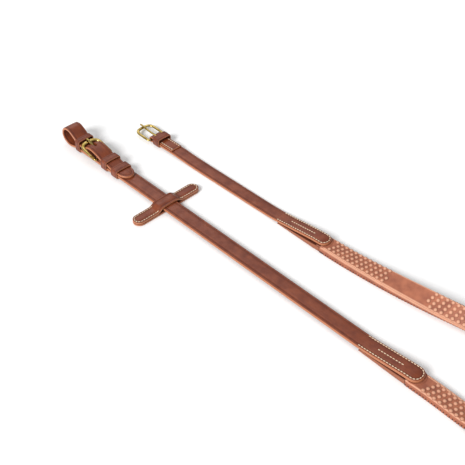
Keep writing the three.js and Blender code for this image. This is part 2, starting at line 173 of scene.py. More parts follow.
def thicken(bm, thickness, edge=0.8, crease=0.0, groove=0.3, rounding=3):
    """Raises the outline both ways, rounds its rims, and presses a crease line into both faces.
    The rim and crease attributes say how far a point belongs to the edge or to the line."""
    made = bmesh.ops.extrude_face_region(bm, geom=bm.faces[:])
    upper = [v for v in made["geom"] if isinstance(v, bmesh.types.BMVert)]
    bmesh.ops.translate(bm, vec=(0, 0, thickness), verts=upper)
    bmesh.ops.translate(bm, vec=(0, 0, -thickness / 2), verts=bm.verts)
    bmesh.ops.recalc_face_normals(bm, faces=bm.faces)
    rims = [e for e in bm.edges if {round(abs(f.normal.z)) for f in e.link_faces} == {0, 1}]
    bmesh.ops.bevel(bm, geom=rims, offset=edge, offset_type="OFFSET", segments=rounding,
                    profile=0.5, affect="EDGES", material=-1)
    if crease:
        for side in (1, -1):
            flat = [f for f in bm.faces if f.normal.z * side > 0.999]
            bmesh.ops.inset_region(bm, faces=flat, thickness=crease - edge, depth=0, use_even_offset=True)
            for depth in (-groove, groove):
                bmesh.ops.inset_region(bm, faces=flat, thickness=0.45, depth=depth, use_even_offset=True)
    # The rim attribute marks the rounded edges, which the leather finishes paint lighter as a painted
    # highlight.
    rim = bm.verts.layers.float.new("rim")
    line = bm.verts.layers.float.new("crease")
    for v in bm.verts:
        sunk = thickness / 2 - abs(v.co.z)
        in_groove = crease and abs(sunk - groove) < 1e-4
        v[line] = 1.0 if in_groove else 0.0
        v[rim] = 0.0 if in_groove else min(max(sunk / edge, 0), 1)
    return bm


def cut(bm, planes, reach=None):
    """Divides the faces at each plane, given as (axis, distance). reach limits it to a range of u."""
    for axis, distance in planes:
        faces = bm.faces[:]
        if reach:
            faces = [f for f in faces if reach[0] < f.calc_center_median().x < reach[1]]
        around = {item for f in faces for item in (*f.edges, *f.verts)}
        normal = Vector((0, 0, 0))
        normal[axis] = 1
        bmesh.ops.bisect_plane(bm, geom=[*faces, *around], dist=1e-4, plane_co=normal * distance,
                               plane_no=normal)


def pierce(bm, start, end, half, corner):
    """Cuts a hole through a blank from u = start to u = end, with rounded corners."""
    cut(bm, [(0, start), (0, end)])
    cut(bm, [(1, half), (1, -half)], reach=(start, end))
    inside = [f for f in bm.faces
              if start < f.calc_center_median().x < end and abs(f.calc_center_median().y) < half]
    bmesh.ops.delete(bm, geom=inside, context="FACES")
    bmesh.ops.bridge_loops(bm, edges=[e for e in bm.edges if e.is_boundary])
    posts = [e for e in bm.edges if abs(e.verts[0].co.z - e.verts[1].co.z) > 0.1
             and all(start - 0.01 < v.co.x < end + 0.01 and abs(v.co.y) < half + 0.01 for v in e.verts)]
    bmesh.ops.bevel(bm, geom=posts, offset=corner, offset_type="OFFSET", segments=5, profile=0.5,
                    affect="EDGES", material=-1)


def crown(bm, half, rise):
    """Lets both faces swell a little towards the middle of the strap."""
    cut(bm, [(1, half * share) for share in (-0.45, -0.2, 0, 0.2, 0.45)])
    for v in bm.verts:
        v.co.z += math.copysign(rise * max(1 - (v.co.y / half) ** 2, 0), v.co.z)


def bend(bm, path, thickness=1.0):
    """Lays the blank along its path, stretched to the path's width and thickness."""
    for v in bm.verts:
        middle, _, across, normal, size = path.at(v.co.x)
        v.co = middle + across * v.co.y * size.x + normal * v.co.z * size.y / thickness


# %% [markdown]
# ## Handing a piece over
# Each mesh is merged, turned outwards, scaled to metres and put at its place, so that its object stays at
# the origin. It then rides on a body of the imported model, and hides the plain solid that it stands for.

# %% Finished pieces
def hand_over(bm, name, body, slot, replaced=(), smooth=40):
    """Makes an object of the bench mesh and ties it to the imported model."""
    bmesh.ops.remove_doubles(bm, verts=bm.verts, dist=0.004)
    bmesh.ops.recalc_face_normals(bm, faces=bm.faces)
    bmesh.ops.scale(bm, vec=(MM, MM, MM), verts=bm.verts)
    bmesh.ops.translate(bm, vec=ORIGIN, verts=bm.verts)
    mesh = bpy.data.meshes.new(name)
    bm.to_mesh(mesh)
    bm.free()
    mesh.shade_smooth()
    mesh.set_sharp_from_angle(angle=math.radians(smooth))
    piece = bpy.data.objects.new(name, mesh)
    bpy.context.scene.collection.objects.link(piece)
    mesh.materials.append(FINISH[slot])
    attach(piece, body)
    if replaced:
        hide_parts(*replaced)
    spans = " x ".join(f"{d / MM:.1f}" for d in piece.dimensions)
    print(f"{name}: {len(mesh.polygons)} faces, {spans} mm")
    return piece


# %% [markdown]
# ## Finishes
# Leather is never one colour. Dye sits deeper in some places, the grain has small cells, and long fibres show
# as faint streaks. The edge is painted lighter than the face, a painted highlight on its rounded rims. The
# grain is a node group because three leathers share it. Rim and crease come from the blanks' own attributes,
# so they follow the cut edge exactly.

# %% Node helpers
def wire(tree, kind, inputs=(), **settings):
    """Adds a node. An input is given by its name or number, with a value or a socket to link."""
    made = tree.nodes.new(kind)
    for name, value in settings.items():
        setattr(made, name, value)
    for name, value in dict(inputs).items():
        if isinstance(value, bpy.types.NodeSocket):
            tree.links.new(value, made.inputs[name])
        else:
            made.inputs[name].default_value = value
    return made


def blend_colour(tree, factor, first, second):
    """The colour between two, by a factor from 0 to 1."""
    return wire(tree, "ShaderNodeMix", {0: factor, 6: first, 7: second}, data_type="RGBA").outputs[2]


def span(tree, value, low, high, to_low=0.0, to_high=1.0):
    """Maps a value from one range to another and keeps it inside."""
    limits = {0: value, 1: low, 2: high, 3: to_low, 4: to_high}
    return wire(tree, "ShaderNodeMapRange", limits).outputs[0]


def new_group(name, inputs, outputs):
    """An empty shader node group with float or vector inputs and float outputs."""
    tree = bpy.data.node_groups.new(name, "ShaderNodeTree")
    for label, value in inputs.items():
        kind = "NodeSocketVector" if value is None else "NodeSocketFloat"
        socket = tree.interface.new_socket(label, in_out="INPUT", socket_type=kind)
        if value is not None:
            socket.default_value = value
    for label in outputs:
        tree.interface.new_socket(label, in_out="OUTPUT", socket_type="NodeSocketFloat")
    return tree, tree.nodes.new("NodeGroupInput"), tree.nodes.new("NodeGroupOutput")


def rgb(text):
    """A web colour as linear red, green, blue and alpha."""
    parts = [int(text[i:i + 2], 16) / 255 for i in (1, 3, 5)]
    linear = [p / 12.92 if p <= 0.04045 else ((p + 0.055) / 1.055) ** 2.4 for p in parts]
    return (*linear, 1.0)


# %% The leather grain group
grain, into, out = new_group("leather_grain", {"Vector": None, "Cells": 1000.0, "Depth": 1.0},
                             ["Height", "Mottle", "Streak"])
cells = wire(grain, "ShaderNodeTexVoronoi",
             {"Vector": into.outputs["Vector"], "Scale": into.outputs["Cells"]}, feature="SMOOTH_F1")
pores = wire(grain, "ShaderNodeTexNoise", {"Vector": into.outputs["Vector"], "Scale": 2600.0, "Detail": 2.0})
patches = wire(grain, "ShaderNodeTexNoise", {"Vector": into.outputs["Vector"], "Scale": 110.0, "Detail": 6.0})
drawn = wire(grain, "ShaderNodeMapping", {"Vector": into.outputs["Vector"], "Scale": (22.0, 520.0, 520.0)})
fibres = wire(grain, "ShaderNodeTexNoise", {"Vector": drawn.outputs[0], "Scale": 1.0, "Detail": 3.0})
bumps = wire(grain, "ShaderNodeMath", {0: cells.outputs["Distance"], 1: pores.outputs[0]}, operation="ADD")
height = wire(grain, "ShaderNodeMath", {0: bumps.outputs[0], 1: into.outputs["Depth"]}, operation="MULTIPLY")
grain.links.new(height.outputs[0], out.inputs["Height"])
grain.links.new(span(grain, patches.outputs[0], 0.32, 0.68), out.inputs["Mottle"])
grain.links.new(span(grain, fibres.outputs[0], 0.35, 0.65), out.inputs["Streak"])
print("leather_grain group:", len(grain.nodes), "nodes")


# %% Materials
def new_material(name, colour, roughness):
    """A material with a Principled shader and the object's own coordinates."""
    material = bpy.data.materials.new(name)
    material.use_nodes = True
    material.diffuse_color = colour
    tree = material.node_tree
    shader = tree.nodes["Principled BSDF"]
    shader.inputs["Roughness"].default_value = roughness
    place = wire(tree, "ShaderNodeTexCoord").outputs["Object"]
    return material, tree, shader, place


def attribute(tree, name):
    return wire(tree, "ShaderNodeAttribute", attribute_name=name).outputs["Fac"]


def leather(name, light, dark, edge, line, roughness, coat):
    """Dyed leather: mottled face, streaks, a rim painted lighter as a painted highlight, dark crease line and
    cell grain.
    """
    material, tree, shader, place = new_material(name, rgb(light), roughness)
    skin = wire(tree, "ShaderNodeGroup", node_tree=grain)
    tree.links.new(place, skin.inputs["Vector"])
    face = blend_colour(tree, skin.outputs["Mottle"], rgb(dark), rgb(light))
    fibre = span(tree, skin.outputs["Streak"], 0, 1, 0, 0.35)
    face = blend_colour(tree, fibre, face, rgb(dark))
    # Painted highlight: the rims are painted in the lighter edge colour.
    painted_rim_highlight = span(tree, attribute(tree, "rim"), 0.1, 0.6, 0, 0.85)
    face = blend_colour(tree, painted_rim_highlight, face, rgb(edge))
    pressed = span(tree, attribute(tree, "crease"), 0.2, 1.0, 0, 0.85)
    face = blend_colour(tree, pressed, face, rgb(line))
    tree.links.new(face, shader.inputs["Base Color"])
    gloss = span(tree, skin.outputs["Mottle"], 0, 1, roughness + 0.08, roughness - 0.06)
    tree.links.new(gloss, shader.inputs["Roughness"])
    bump = wire(tree, "ShaderNodeBump",
                {"Height": skin.outputs["Height"], "Strength": 0.35, "Distance": 0.00015})
    tree.links.new(bump.outputs[0], shader.inputs["Normal"])
    shader.inputs["Specular IOR Level"].default_value = 0.28
    shader.inputs["Coat Weight"].default_value = coat
    shader.inputs["Coat Roughness"].default_value = 0.25
    return material


def polished_brass(name):
    """Cast brass: bright, a little uneven, with fine polishing lines."""
    material, tree, shader, place = new_material(name, rgb("#b39a52"), 0.2)
    cloud = wire(tree, "ShaderNodeTexNoise", {"Vector": place, "Scale": 260.0, "Detail": 3.0}).outputs[0]
    drawn_out = wire(tree, "ShaderNodeMapping",
                     {"Vector": place, "Scale": (900.0, 4200.0, 4200.0)}).outputs[0]
    lines = wire(tree, "ShaderNodeTexNoise", {"Vector": drawn_out, "Scale": 1.0, "Detail": 2.0}).outputs[0]
    tint = blend_colour(tree, span(tree, cloud, 0.35, 0.65), rgb("#8f7736"), rgb("#c2ab6a"))
    tree.links.new(tint, shader.inputs["Base Color"])
    tree.links.new(span(tree, lines, 0.3, 0.7, 0.13, 0.27), shader.inputs["Roughness"])
    bump = wire(tree, "ShaderNodeBump", {"Height": lines, "Strength": 0.12, "Distance": 0.00004})
    tree.links.new(bump.outputs[0], shader.inputs["Normal"])
    shader.inputs["Metallic"].default_value = 1.0
    return material


def moulded_rubber(name, light, dark, painted_hollow_shade):
    """Terracotta rubber: matt, painted lighter on its ridges, rims and pimple tops as a painted highlight,
    painted shade in its hollows, with a fine moulded skin.
    """
    material, tree, shader, place = new_material(name, rgb(light), 0.6)
    skin = wire(tree, "ShaderNodeTexNoise", {"Vector": place, "Scale": 1800.0, "Detail": 3.0}).outputs[0]
    cloud = wire(tree, "ShaderNodeTexNoise", {"Vector": place, "Scale": 120.0, "Detail": 3.0}).outputs[0]
    face = blend_colour(tree, span(tree, cloud, 0.3, 0.7), rgb(dark), rgb(light))
    # Painted highlight: the rim attribute lightens the ridges, top edges and pimple tops.
    painted_rubber_highlight = span(tree, attribute(tree, "rim"), 0, 1, 0, 0.8)
    face = blend_colour(tree, painted_rubber_highlight, face, rgb("#e8b394"))
    # Painted shade: the crease attribute darkens the pimples' bases and the lower sides between the ribs.
    sunk = span(tree, attribute(tree, "crease"), 0, 1, 0, 0.9)
    face = blend_colour(tree, sunk, face, rgb(painted_hollow_shade))
    shader.inputs["Specular IOR Level"].default_value = 0.35
    tree.links.new(face, shader.inputs["Base Color"])
    tree.links.new(span(tree, skin, 0.3, 0.7, 0.48, 0.66), shader.inputs["Roughness"])
    bump = wire(tree, "ShaderNodeBump", {"Height": skin, "Strength": 0.3, "Distance": 0.0001})
    tree.links.new(bump.outputs[0], shader.inputs["Normal"])
    return material


def twisted_thread(name, light, dark):
    """Waxed linen thread: cream, with the twist of its plies."""
    material, tree, shader, place = new_material(name, rgb(light), 0.7)
    slant = wire(tree, "ShaderNodeMapping", {"Vector": place, "Rotation": (0.6, 0.5, 0.7)}).outputs[0]
    plies = wire(tree, "ShaderNodeTexWave",
                 {"Vector": slant, "Scale": 420.0, "Distortion": 1.0}).outputs["Fac"]
    tree.links.new(blend_colour(tree, plies, rgb(dark), rgb(light)), shader.inputs["Base Color"])
    bump = wire(tree, "ShaderNodeBump", {"Height": plies, "Strength": 0.4, "Distance": 0.0001})
    tree.links.new(bump.outputs[0], shader.inputs["Normal"])
    return material


FINISH = {
    # The third colour of each leather paints its rims lighter, a painted highlight.
    "leather": leather("bridle_leather", "#824024", "#672e1b", "#b87754", "#220b05", 0.38, coat=0.12),
    "lining": leather("lining_leather", "#5f2d1b", "#401b10", "#9c5f44", "#240c06", 0.5, coat=0.05),
    "brass": polished_brass("brass"),
    "rubber": moulded_rubber("grip_rubber", "#a9674c", "#8a4f3b", "#42201a"),
    "thread": twisted_thread("linen_thread", "#ecd9bf", "#cdae8c"),
    "web": twisted_thread("core_web", "#7c5845", "#5c3c2d"),
}
print("materials:", ", ".join(FINISH))

# %% [markdown]
# ## The bit strap
# The long strap of the bit end starts at its lap on the grip, runs flat, gets thinner, turns round the place
# of the bit ring and comes back on itself through the buckle. A saddler skives the billet, so its thickness
# falls from 3.4 to 2.8 mm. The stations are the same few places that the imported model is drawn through.

# %% Bit strap path
BIT_WIDTH = 17.8
BIT_THICKNESS = 3.4
bit_lap = [(490, 8.5, 3.4), (478, 8.5, 3.4), (474, 8.2, 3.4), (430, 4.2, 3.4), (420, 4.1, 3.4)]
bit_loop = [
    (34, 4.1, 3.4), (27, 4.1, 3.2), (22, 3.7, 3), (16.5, 2.2, 2.7), (10.5, 1.5, 2.6), (3.6, 4, 2.6),
    (0.2, 9.6, 2.6), (0.9, 15.4, 2.6), (4.8, 19.6, 2.6), (10.4, 20.6, 2.6), (15.6, 18.8, 2.6),
    (20.2, 15.6, 2.7), (24.4, 12.7, 2.8), (29, 10.9, 2.8), (34, 10.2, 2.8),
]
bit_hump = [
    (37.6, 10.4), (40.6, 11.7), (43.6, 13.6), (47.5, 15.1), (51.5, 15.1), (56, 14.4), (60, 13.5), (64, 12.1),
    (68, 10.1), (72, 9.9), (77, 9.8), (82, 8.3), (86, 7.5), (92, 7.5), (110, 7.5),
]
bit_run = smooth_run(bit_lap) + smooth_run([*bit_loop, *((x, z, 2.8) for x, z in bit_hump)])
bit_path = strap_path(bit_run, 0, -1)
billet = bit_path.where(25, first=bit_path.where(3, first=480))
print(f"bit strap: {bit_path.length:.0f} mm long, billet starts {billet:.0f} mm from the lap")

# %% Bit strap
strap = thicken(outline(bit_path.length, BIT_WIDTH, tips=(8, 12)), BIT_THICKNESS, edge=1.1, crease=2.2)
pierce(strap, bit_path.where(38, first=billet), bit_path.where(50.8, first=billet), 1.8, 1.5)
pierce(strap, bit_path.where(70.6, first=billet), bit_path.where(74.4, first=billet), 1.9, 1.8)
crown(strap, BIT_WIDTH / 2, 0.2)
cut(strap, [(0, u) for u in bit_path.cuts(stride=9)])
bend(strap, bit_path, BIT_THICKNESS)
hand_over(strap, "bit_strap_leather", "rein", "leather", ["bit_strap"])

# %% [markdown]
# ## The hand strap
# The narrower strap runs from its lap to the hand buckle. There it is skived to a thin ply, folded round the
# heel bar and sewn down on itself. The fold is cut a little narrower, which its path gives as a share of
# width.

# %% Hand strap path
HAND_Y = HAND_HEEL.y
HAND_SLOPE = 0.0094
HAND_WIDTH = 15.8
HAND_THICKNESS = 3.0
FOLD_SHARE = 14 / 15.8
FOLD_END = 103.6


def wrap(heel, radius, start, end, steps=12):
    """Points of (x, z) on a circle round a heel bar, between two angles in degrees."""
    turns = [math.radians(start + (end - start) * k / steps) for k in range(steps + 1)]
    return [(heel.x + radius * math.cos(a), heel.z + radius * math.sin(a)) for a in turns]


hand_flat = [(325, 8.3, 3), (313, 8.3, 3), (307, 7.8, 3), (268, 3.4, 3), (256, 2.2, 3), (238, 1.7, 3),
             (200, 1.7, 3), (150, 1.7, 3), (126, 2.1, 3), (108, 3, 2.8), (84, 3.05, 2.8), (77, 3.05, 2.4),
             (72.6, 2.1, 1.6)]
hand_run = [(p[0], p[1], 1, p[2]) for p in smooth_run(hand_flat)]
turn = wrap(HAND_HEEL, 2.2, -90, -270, 24)
hand_run += [(x, z, 1 + (FOLD_SHARE - 1) * k / 24, 1.4) for k, (x, z) in enumerate(turn)]
hand_run += [(x, z, FOLD_SHARE, 1.4)
             for x, z in ((73, 5.7), (77, 5.45), (80, 5.45), (92, 5.45), (FOLD_END, 5.45))]
hand_path = strap_path(hand_run, HAND_Y, -1, HAND_SLOPE)
fold = hand_path.where(74, first=hand_path.where(67, first=200) + 3)
print(f"hand strap: {hand_path.length:.0f} mm long, its fold starts {fold:.0f} mm from the lap")

# %% Hand strap
strap = thicken(outline(hand_path.length, HAND_WIDTH, tips=(7, 0)), HAND_THICKNESS, edge=1.0, crease=1.8)
pierce(strap, hand_path.where(72, first=200), hand_path.where(73.6, first=fold - 6), 2.2, 1.2)
crown(strap, HAND_WIDTH / 2, 0.2)
cut(strap, [(0, u) for u in hand_path.cuts(stride=9)])
bend(strap, hand_path, HAND_THICKNESS)
hand_over(strap, "hand_strap_leather", "rein", "leather", ["hand_strap"])

# %% [markdown]
# ## Chape and lap tongues
# The chape is a thin leather folded round the bit buckle's heel bar, with a slot for the tongue. Each lap
# tongue is a wedge that widens from the strap to the grip and carries the sewn lap. Both are blanks again:
# the wedge only changes its width and thickness along its path.

# %% Chape
CHAPE_WIDTH = 15.8
turn = wrap(BIT_HEEL, 1.95, -90, -270, 20)
chape_run = [(79.5, 6.55), (72, 6.55), (66, 6.55), *turn, (66.5, 8), (69, 7.75), (76, 7.75)]
chape_path = strap_path([(x, z, 0.9) for x, z in chape_run], 0, -1)
chape = thicken(outline(chape_path.length, CHAPE_WIDTH), 0.9, edge=0.3, crease=1.6, groove=0.12)
pierce(chape, chape_path.where(65.2), chape_path.where(65.5, first=chape_path.where(60)), 2.2, 1.4)
cut(chape, [(0, u) for u in chape_path.cuts(stride=4, turn=10)])
bend(chape, chape_path, 0.9)
hand_over(chape, "bit_chape_leather", "rein", "lining", ["bit_chape"])


# %% Lap tongues
LAP_WIDTH = 19.4


def lap_tongue(name, node, start, end, y, narrow, low, slope=0.0):
    """A leather wedge from a strap to the grip: narrow and low first, as wide as the grip at the end."""
    run = []
    for share in (0, 0.02, 0.05, 0.1, 0.3, 0.5, 0.7, 0.84, 0.92, 1):
        width = narrow + (LAP_WIDTH - narrow) * min(share / 0.84, 1)
        height = low + (6.1 - low) * share - 0.8 * max(1 - share / 0.05, 0)
        run.append((start + (end - start) * share, height / 2, width / LAP_WIDTH, height))
    path = strap_path(run, y, 1, slope)
    wedge = thicken(outline(path.length, LAP_WIDTH), 6, edge=1.1)
    cut(wedge, [(0, u) for u in path.lengths[1:-1]])
    bend(wedge, path, 6)
    hand_over(wedge, name, "rein", "lining", [node])


lap_tongue("bit_lap_wedge", "bit_lap_tongue", 428, 478.6, 0, 16.8, 2.1)
lap_tongue("hand_lap_wedge", "hand_lap_tongue", 263, 320, HAND_Y, 15.8, 1.3, HAND_SLOPE)

# %% [markdown]
# ## Keepers
# A keeper is a short band of leather sewn into a ring round the strap. The blank is bent round a rounded
# rectangle, and its two ends meet below the strap, where the real seam is. The top is bowed a little, because
# leather that is blocked wet over two straps never dries quite flat.


# %% Keepers
def rounded(corners, radius, closed=True, arc=6, stride=1.5):
    """Points of (a, b) along straight sides with rounded corners. radius may be one for each corner."""
    corners = [Vector(c) for c in corners]
    radii = radius if isinstance(radius, list) else [radius] * len(corners)
    count = len(corners)
    turns = []
    for i, corner in enumerate(corners):
        if not radii[i]:
            turns.append([corner])
            continue
        before = corner + (corners[i - 1] - corner).normalized() * radii[i]
        after = corner + (corners[(i + 1) % count] - corner).normalized() * radii[i]
        shares = [k / arc for k in range(arc + 1)]
        turns.append([before * (1 - s) ** 2 + corner * 2 * s * (1 - s) + after * s**2 for s in shares])
    points = []
    for i, turn in enumerate(turns):
        points += turn
        if closed or i < count - 1:
            goal = turns[(i + 1) % count][0]
            parts = max(int((goal - turn[-1]).length / stride), 1)
            points += [turn[-1].lerp(goal, k / parts) for k in range(1, parts)]
    return points + [points[0]] if closed else points


def keeper(name, node, body, ends, half, bottom, top, y=0.0):
    """A band from one x to another round a strap, given by the hollow inside it."""
    wall = 1.2
    wide, low, high = half + wall / 2, bottom - wall / 2, top + wall / 2
    ring = rounded([(0, low), (wide, low), (wide, high), (-wide, high), (-wide, low), (0, low)],
                   [0, 2.2, 2.0, 2.0, 2.2, 0], closed=False)
    bowed = [(a, b + 0.4 * (1 - (a / wide) ** 2) * (b > (low + high) / 2)) for a, b in ring]
    middle = (ends[0] + ends[1]) / 2
    points = [Vector((middle, y + a, b)) for a, b in bowed]
    path = Path(points, [Vector((1, 0, 0))] * len(points), [Vector((1, wall))] * len(points))
    band = thicken(outline(path.length, ends[1] - ends[0]), wall, edge=0.45, crease=1.5, groove=0.18)
    crown(band, (ends[1] - ends[0]) / 2, 0.12)
    cut(band, [(0, u) for u in path.cuts(stride=2, turn=9)])
    bend(band, path, wall)
    hand_over(band, name, body, "leather", [node])


keeper("loop_keeper_leather", "loop_keeper", "rein", (24.4, 31.4), 9.05, 2.2, 14.5)
keeper("fixed_keeper_leather", "fixed_keeper", "rein", (69.3, 78.6), 9.05, 2.2, 11.9)
keeper("running_keeper_leather", "running_keeper", "runner", (87, 96.5), 9.3, 2.1, 9.5)
keeper("hand_keeper_leather", "hand_keeper", "rein", (74.2, 84), 8.15, 1.35, 9.1, HAND_Y)

# %% [markdown]
# ## Rein stop
# Two long leathers with round ends are sewn together wing by wing. The upper one arches over the strap and
# leaves it free, so the stop can be pushed along the rein. Its blank is as long as the arch needs.

# %% Rein stop
STOP_X = 165
STOP_HALF = 42.5
STOP_WIDTH = 14
wing = [(STOP_HALF, 3.4), (30, 3.4), (18.9, 3.4), (16.4, 3.55), (13.3, 5.1), (10.7, 6.85), (8.1, 7.3)]
arch = smooth_run([(-a, b, 2.2) for a, b in wing] + [(0, 7.35, 2.2)]
                  + [(a, b, 2.2) for a, b in reversed(wing)])


def stop_path(run):
    """A path across the strap, at the stop's place."""
    points = [Vector((STOP_X, p[0], p[1])) for p in run]
    return Path(points, [Vector((-1, 0, 0))] * len(run), [Vector((1, p[2])) for p in run])


arch_path = stop_path(arch)
flat_path = stop_path([(-STOP_HALF, 1, 2), (0, 1, 2), (STOP_HALF, 1, 2)])
for name, node, path, thickness in (("stop_upper_leather", "rein_stop_upper", arch_path, 2.2),
                                    ("stop_lower_leather", "rein_stop_lower", flat_path, 2.0)):
    ply = thicken(outline(path.length, STOP_WIDTH, tips=(7, 7)), thickness, edge=0.55, crease=1.75,
                  groove=0.3)
    cut(ply, [(0, u) for u in path.cuts(stride=3)])
    bend(ply, path, thickness)
    hand_over(ply, name, "stop", "leather", [node])

# %% [markdown]
# ## Buckles
# Both buckles are cast brass: a D with a straight heel bar and a broad front bar. A round bar is bent round
# the closed D, and its size on the way swells from the heel to the front, where the top is filed flat. The
# tongue is one more bar, whose flattened start is rolled round the heel bar as an eye.


# %% Bars
def bar(path, name, body, *nodes, flat=1.0, closed=False, slot="brass"):
    """A bar along a path, with its half width and half height. flat cuts the top and bottom level."""
    rod = bmesh.new()
    bmesh.ops.create_circle(rod, cap_ends=not closed, radius=1, segments=20)
    bmesh.ops.rotate(rod, matrix=Matrix.Rotation(math.radians(90), 3, "Y"), verts=rod.verts)
    made = bmesh.ops.extrude_edge_only(rod, edges=rod.edges[:]) if closed else \
        bmesh.ops.extrude_face_region(rod, geom=rod.faces[:])
    far = [v for v in made["geom"] if isinstance(v, bmesh.types.BMVert)]
    bmesh.ops.translate(rod, vec=(path.length, 0, 0), verts=far)
    for v in rod.verts:
        v.co.z = math.copysign(min(abs(v.co.z), flat), v.co.z)
    cut(rod, [(0, u) for u in path.cuts(stride=1.2, turn=7)])
    bend(rod, path)
    hand_over(rod, name, body, slot, nodes, smooth=50)


def buckle(name, node, body, heel, reach, half, wire_size, corner, rise, front):
    """A D frame round a heel bar, tilted about it so that the front bar is higher by the rise."""
    ring = rounded([(0, 0), (0, half), (-reach, half), (-reach, -half), (0, -half)],
                   [0, 1.6, corner, corner, 1.6], arc=10)
    tilt = Matrix.Rotation(math.atan2(rise, reach), 3, "Y")
    points, acrosses, sizes = [], [], []
    up = tilt @ Vector((0, 0, 1))
    for i, (x, y) in enumerate(ring):
        points.append(heel + tilt @ Vector((x, y, 0)))
        ahead = Vector(ring[(i + 1) % (len(ring) - 1)]) - Vector(ring[i - 1 if i else -2])
        acrosses.append(up.cross(tilt @ Vector((*ahead, 0))).normalized())
        share = min(max(-x / reach, 0), 1)
        neck = min(abs(x) / 2.5, 1)
        wide = (1.2 + (wire_size - 1.2) * neck) * (1 + (front - 1) * share**3)
        sizes.append(Vector((wide, (1.2 + (wire_size - 1.2) * neck) * (1 - 0.12 * share**3))))
    bar(Path(points, acrosses, sizes), name, body, node, flat=0.8, closed=True)


def tongue(name, node, body, heel, shaft):
    """A tongue: an eye round the heel bar, then a shaft through (x, z, half width, half height)."""
    eye = [(x, z, 1.55, 0.43) for x, z in wrap(Vector((0, 0, 0)), 1.9, -150, 95, 30)]
    run = [Vector(p) for p in eye] + smooth_run([(-1.6, 1.85, 1.5, 0.5), *shaft], 8)
    run = [(p[0] + heel.x, p[1] + heel.z, p[2], p[3]) for p in run]
    bar(strap_path(run, heel.y, 1), name, body, node, flat=0.9)


buckle("bit_buckle_brass", "bit_buckle_frame", "bit_buckle", BIT_HEEL, 26.5, 11, 1.5, 9, 5.4, 1.45)
buckle("hand_buckle_brass", "hand_buckle_frame", "hand_buckle", HAND_HEEL, 22.7, 10.4, 1.35, 8, 0.8, 1.35)
tongue("bit_tongue_brass", "bit_buckle_tongue", "bit_tongue", BIT_HEEL,
       [(-5, 2.0, 1.35, 0.8), (-10, 2.6, 1.3, 0.85), (-14, 3.7, 1.3, 0.85), (-20, 6.1, 1.3, 0.85),
        (-25.8, 7.95, 1.25, 0.8), (-28.2, 8.2, 1.0, 0.65), (-28.9, 8.2, 0.5, 0.35)])
tongue("hand_tongue_brass", "hand_buckle_tongue", "hand_tongue", HAND_HEEL,
       [(-5, 1.7, 1.25, 0.75), (-14, 2.2, 1.2, 0.8), (-22.7, 3.5, 1.2, 0.8), (-26.2, 3.7, 1.05, 0.65),
        (-26.9, 3.7, 0.5, 0.35)])

# %% [markdown]
# ## The grip
# The grip is a rubber cover over a woven core, closed below by a strip. On the table it lies flat at both
# laps and stands on edge through the turn, because a band this wide only bends the thin way. Its path follows
# the route on the table, and its across direction turns from level to upright and back.

# %% Grip path
GRIP_HALF = 9.7
GRIP_UP = 3.25
GRIP_ROUTE = [
    (479, 0), (505, 0), (540, -1.5), (580, -5), (614, -5), (645, 3), (668, 20), (678, 45), (670, 69),
    (649, 85), (618, 93), (576, 93), (528, 88.5), (478, 81.8), (430, 76.4), (385, 72.9), (345, 70.9),
    (320.4, HAND_Y + HAND_SLOPE * (320.4 - HAND_HEEL.x)),
]


def ease(value, low, high):
    """A smooth step from 0 at low to 1 at high."""
    t = min(max((value - low) / (high - low), 0), 1)
    return t * t * (3 - 2 * t)


route = smooth_run([(x, y, 0) for x, y in GRIP_ROUTE], 24)
flat = Path(route, [Vector((0, 1, 0))] * len(route), [Vector((1, 1))] * len(route))
middles, acrosses = [], []
for u, point, along in zip(flat.lengths, flat.middles, flat.alongs):
    angle = -math.pi / 2 * ease(u, 45, 185) * ease(flat.length - u, 0, 300)
    left = Vector((0, 0, 1)).cross(along)
    middles.append(point + Vector((0, 0, GRIP_HALF * abs(math.sin(angle)) + GRIP_UP * math.cos(angle))))
    acrosses.append(left * math.cos(angle) + Vector((0, 0, math.sin(angle))))
grip_path = Path(middles, acrosses, flat.sizes)
print(f"grip: {grip_path.length:.0f} mm long")


# %% Grip cover and underside
def swept(corners, rims, offset):
    """A closed profile of (across, up) drawn out along the grip, with the edges that rims accepts rounded."""
    bm = bmesh.new()
    points = [bm.verts.new((0, a, b)) for a, b in corners]
    outer = [bm.edges.new((points[i - 1], points[i])) for i in range(len(points))]
    bmesh.ops.contextual_create(bm, geom=outer)
    made = bmesh.ops.extrude_face_region(bm, geom=bm.faces[:])
    far = [v for v in made["geom"] if isinstance(v, bmesh.types.BMVert)]
    bmesh.ops.translate(bm, vec=(grip_path.length, 0, 0), verts=far)
    bmesh.ops.recalc_face_normals(bm, faces=bm.faces)
    long = [e for e in bm.edges if abs(e.verts[0].co.x - e.verts[1].co.x) > 1 and rims(e.verts[0].co)]
    bmesh.ops.bevel(bm, geom=long, offset=offset, offset_type="OFFSET", segments=3, profile=0.5,
                    affect="EDGES", material=-1)
    bm.verts.layers.float.new("rim")
    return bm


RIDGES = (7.2, 8.4)
SHOULDER = (6.6, 3.25)
cover = swept(
    [(-9.7, -3.25), (-8.5, -3.25), (-8.5, 1.75), (8.5, 1.75), (8.5, -3.25), (9.7, -3.25), (9.7, 1.9),
     SHOULDER, (-9.7, 3.25)], lambda p: abs(p.y) > 9.2 and p.z > 1.8, 0.7)
ridge_lines = [centre + side for centre in RIDGES for side in (-0.4, 0, 0.4)]
cut(cover, [(1, a) for a in (-8.3, -6, -4, -2, 0, 2, 4, 6, *ridge_lines)] + [(2, -1.0), (2, -0.9), (2, 1.75)])
rim = cover.verts.layers.float["rim"]
painted_hollow_shade = cover.verts.layers.float.new("crease")
